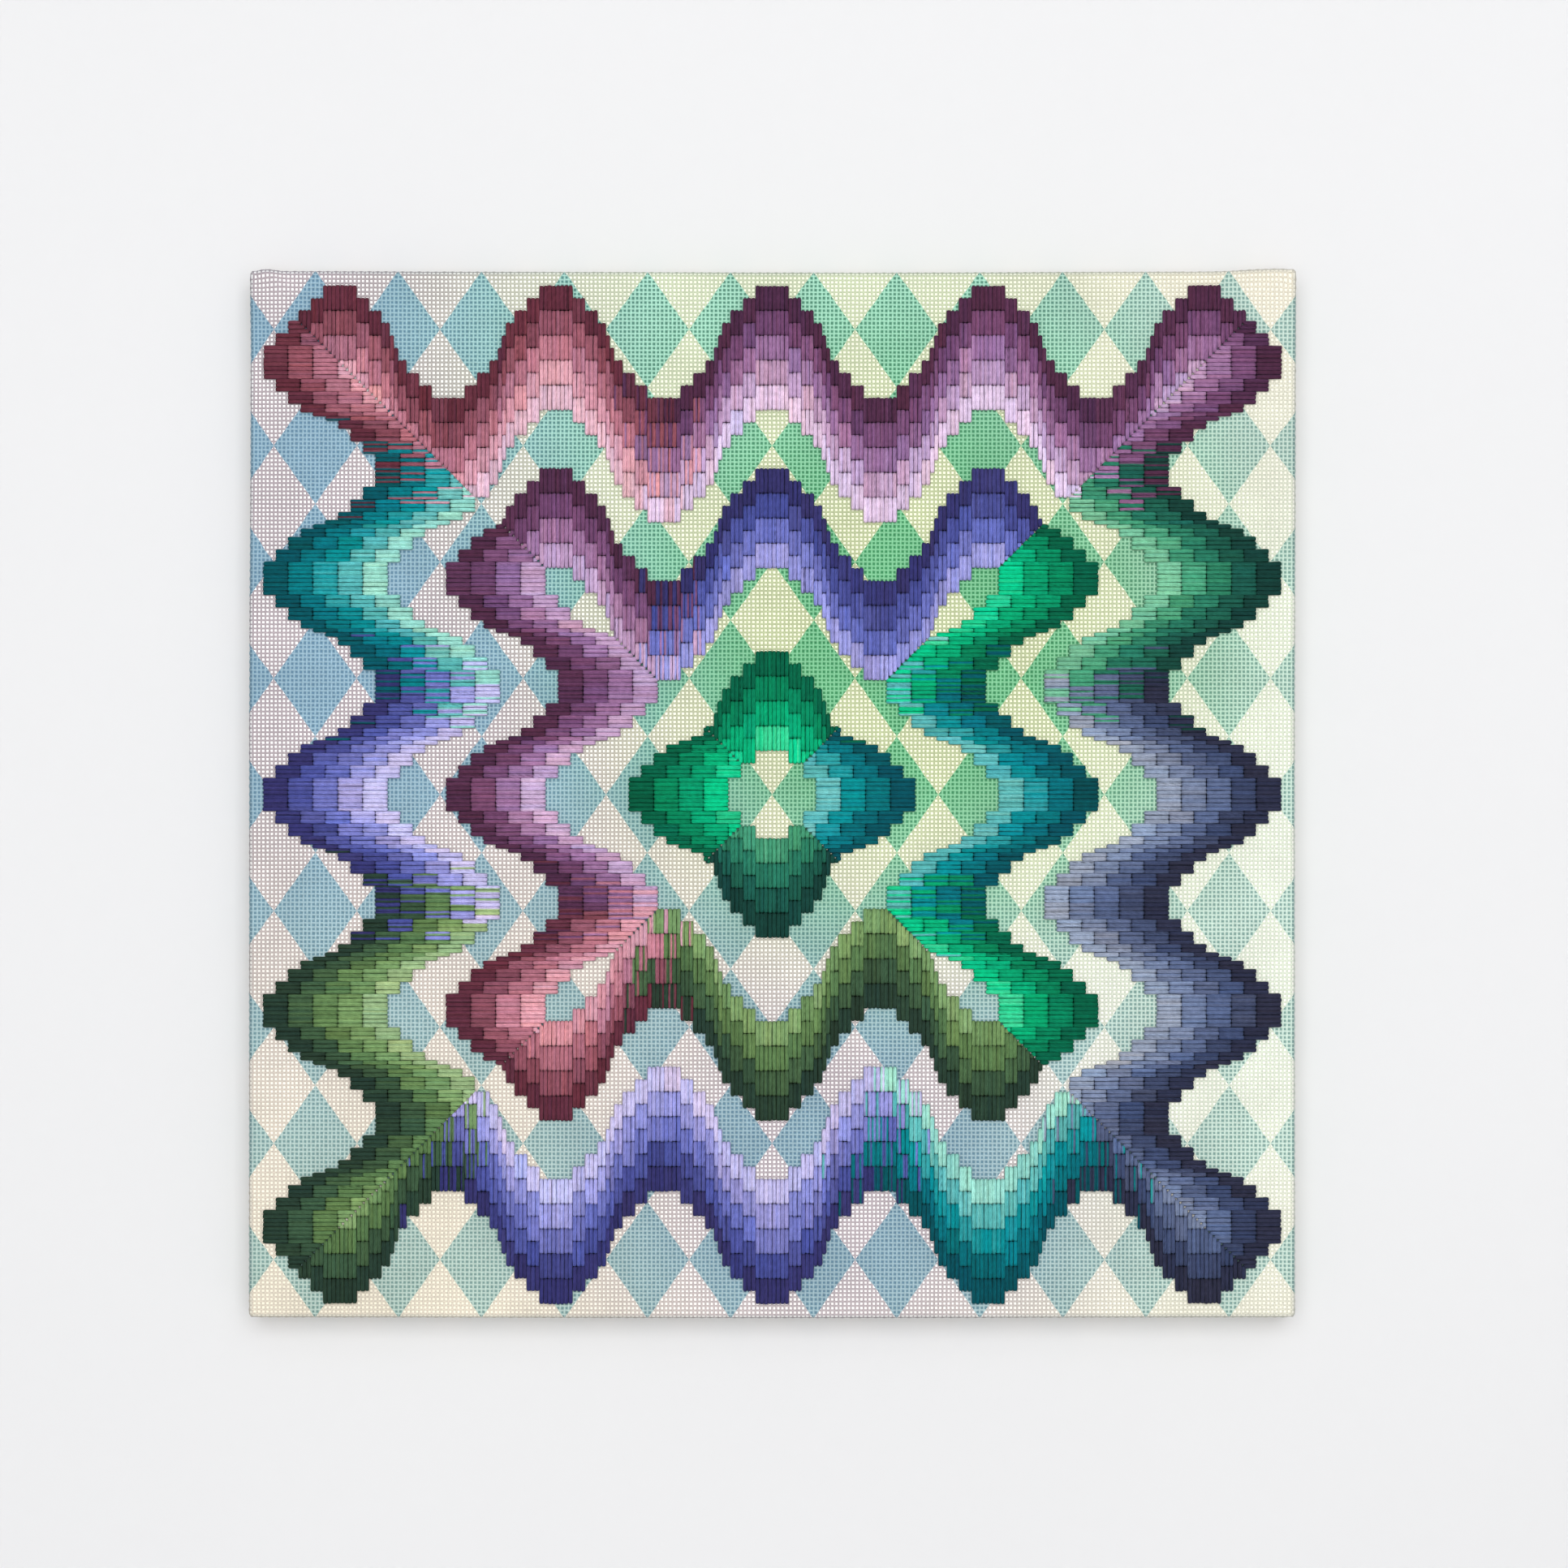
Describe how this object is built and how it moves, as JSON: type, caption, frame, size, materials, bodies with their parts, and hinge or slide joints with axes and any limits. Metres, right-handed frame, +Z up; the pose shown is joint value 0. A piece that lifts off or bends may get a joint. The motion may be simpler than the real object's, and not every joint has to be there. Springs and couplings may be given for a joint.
{
  "type": "needlepoint canvas panel on a wooden stretcher frame",
  "caption": "Square needlepoint mesh canvas stretched over mitred wooden bars, with raised bands of long shaded yarn stitches in mitred waves on a painted ground.",
  "frame": {"origin": "middle of the panel's top edge, on the plane of the back face that touches the wall", "axes": "+X to the right as the panel is looked at, +Y into the wall, +Z up; the stitched front faces -Y"},
  "size_m": [0.458, 0.0221, 0.459],
  "materials": {
    "canvas": "painted cotton mesh canvas, matt, two tones in a lozenge pattern",
    "wood": "bare planed pine",
    "yarn_rose": "soft wool yarn, maroon to pink",
    "yarn_plum": "soft wool yarn, plum to lilac",
    "yarn_teal": "soft wool yarn, dark teal to pale aqua",
    "yarn_iris": "soft wool yarn, indigo to periwinkle",
    "yarn_olive": "soft wool yarn, forest green to moss",
    "yarn_emerald": "soft wool yarn, deep emerald to mint",
    "yarn_slate": "soft wool yarn, dark slate to pale grey-blue",
    "yarn_forest": "soft wool yarn, dark pine green to sage"
  },
  "bodies": {
    "root": {"needlepoint_canvas": "canvas", "stretcher_bar_top": "wood", "stretcher_bar_right": "wood", "stretcher_bar_bottom": "wood", "stretcher_bar_left": "wood", "outer_top_wave_1": "yarn_rose", "outer_top_wave_2": "yarn_rose", "outer_top_wave_3": "yarn_plum", "outer_top_wave_4": "yarn_plum", "outer_top_wave_5": "yarn_plum", "outer_right_wave_1": "yarn_plum", "outer_right_wave_2": "yarn_forest", "outer_right_wave_3": "yarn_slate", "outer_right_wave_4": "yarn_slate", "outer_right_wave_5": "yarn_slate", "outer_bottom_wave_1": "yarn_slate", "outer_bottom_wave_2": "yarn_teal", "outer_bottom_wave_3": "yarn_iris", "outer_bottom_wave_4": "yarn_iris", "outer_bottom_wave_5": "yarn_olive", "outer_left_wave_1": "yarn_olive", "outer_left_wave_2": "yarn_olive", "outer_left_wave_3": "yarn_iris", "outer_left_wave_4": "yarn_teal", "outer_left_wave_5": "yarn_rose", "middle_top_wave_1": "yarn_plum", "middle_top_wave_2": "yarn_iris", "middle_top_wave_3": "yarn_iris", "middle_right_wave_1": "yarn_emerald", "middle_right_wave_2": "yarn_teal", "middle_right_wave_3": "yarn_emerald", "middle_bottom_wave_1": "yarn_olive", "middle_bottom_wave_2": "yarn_olive", "middle_bottom_wave_3": "yarn_rose", "middle_left_wave_1": "yarn_rose", "middle_left_wave_2": "yarn_plum", "middle_left_wave_3": "yarn_plum", "centre_top_wave_1": "yarn_emerald", "centre_right_wave_1": "yarn_teal", "centre_bottom_wave_1": "yarn_forest", "centre_left_wave_1": "yarn_emerald"}
  },
  "joints": []
}
